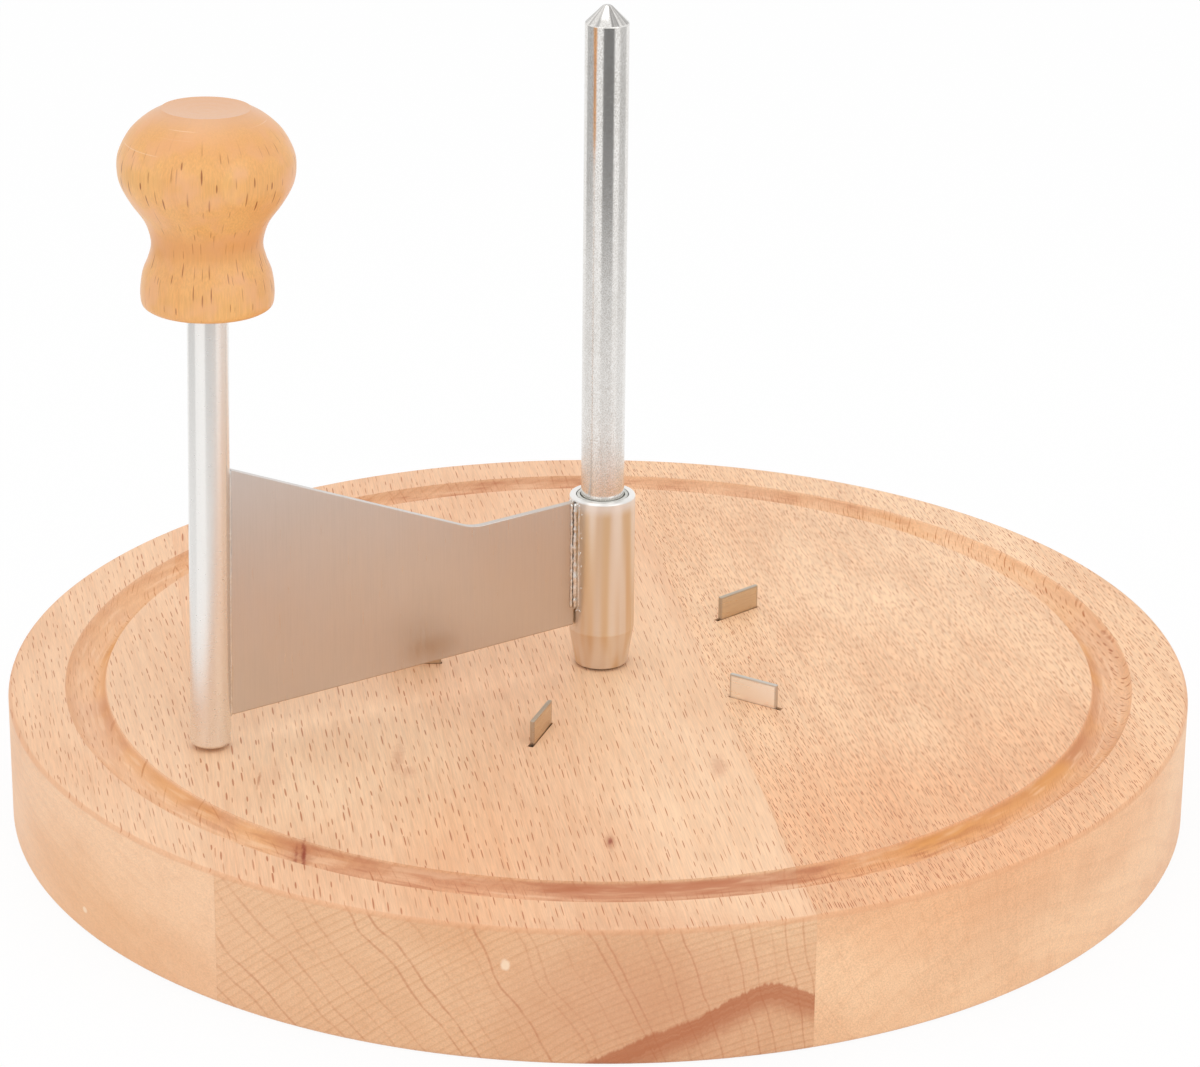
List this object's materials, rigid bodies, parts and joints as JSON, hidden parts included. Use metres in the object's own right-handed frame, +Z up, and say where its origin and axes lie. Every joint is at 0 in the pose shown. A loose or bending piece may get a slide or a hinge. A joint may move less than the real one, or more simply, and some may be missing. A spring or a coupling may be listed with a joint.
{
  "type": "cheese curler",
  "caption": "Round beech board with an upright steel spindle and a lift-off crank: hub, scraping blade, post and turned wooden knob, for shaving curls off a cheese.",
  "frame": {"origin": "centre of the board's underside, on the spindle's axis", "axes": "+Z up along the spindle, +Y away from the viewer of the reference view, +X to the viewer's right; the crank rests at azimuth 209.5 degrees"},
  "size_m": [0.22, 0.22, 0.1512],
  "materials": {
    "beech_board": "oiled",
    "beech_knob": "oiled",
    "steel": "brushed",
    "weld_steel": "rough",
    "bush_plastic": "matte"
  },
  "bodies": {
    "board": {"board_stave_left": "beech_board", "board_stave_centre": "beech_board", "board_stave_right": "beech_board", "spindle": "steel", "spindle_washer": "steel", "spindle_screw": "steel", "cheese_spike_1": "steel", "cheese_spike_2": "steel", "cheese_spike_3": "steel", "cheese_spike_4": "steel", "cheese_spike_5": "steel"},
    "lift_bush": {"hub_bush": "bush_plastic"},
    "crank": {"hub_sleeve": "steel", "scraper_blade": "steel", "handle_post": "steel", "hub_weld_front": "weld_steel", "hub_weld_back": "weld_steel", "post_weld_front": "weld_steel", "post_weld_back": "weld_steel", "knob_ring": "steel"},
    "knob": {"knob_insert": "bush_plastic", "handle_knob": "beech_knob"}
  },
  "joints": [
    {"name": "crank_lift", "type": "slide", "parent": "board", "child": "lift_bush", "axis": [0, 0, 1], "range_m": [0, 0.13]},
    {"name": "crank_turn", "type": "hinge", "parent": "lift_bush", "child": "crank", "pos_m": [0, 0, 0.0246], "axis": [0, 0, 1], "continuous": true},
    {"name": "knob_spin", "type": "hinge", "parent": "crank", "child": "knob", "pos_m": [-0.068, -0.03847, 0.10688], "axis": [0.0167, 0.0095, 0.9998], "continuous": true}
  ]
}
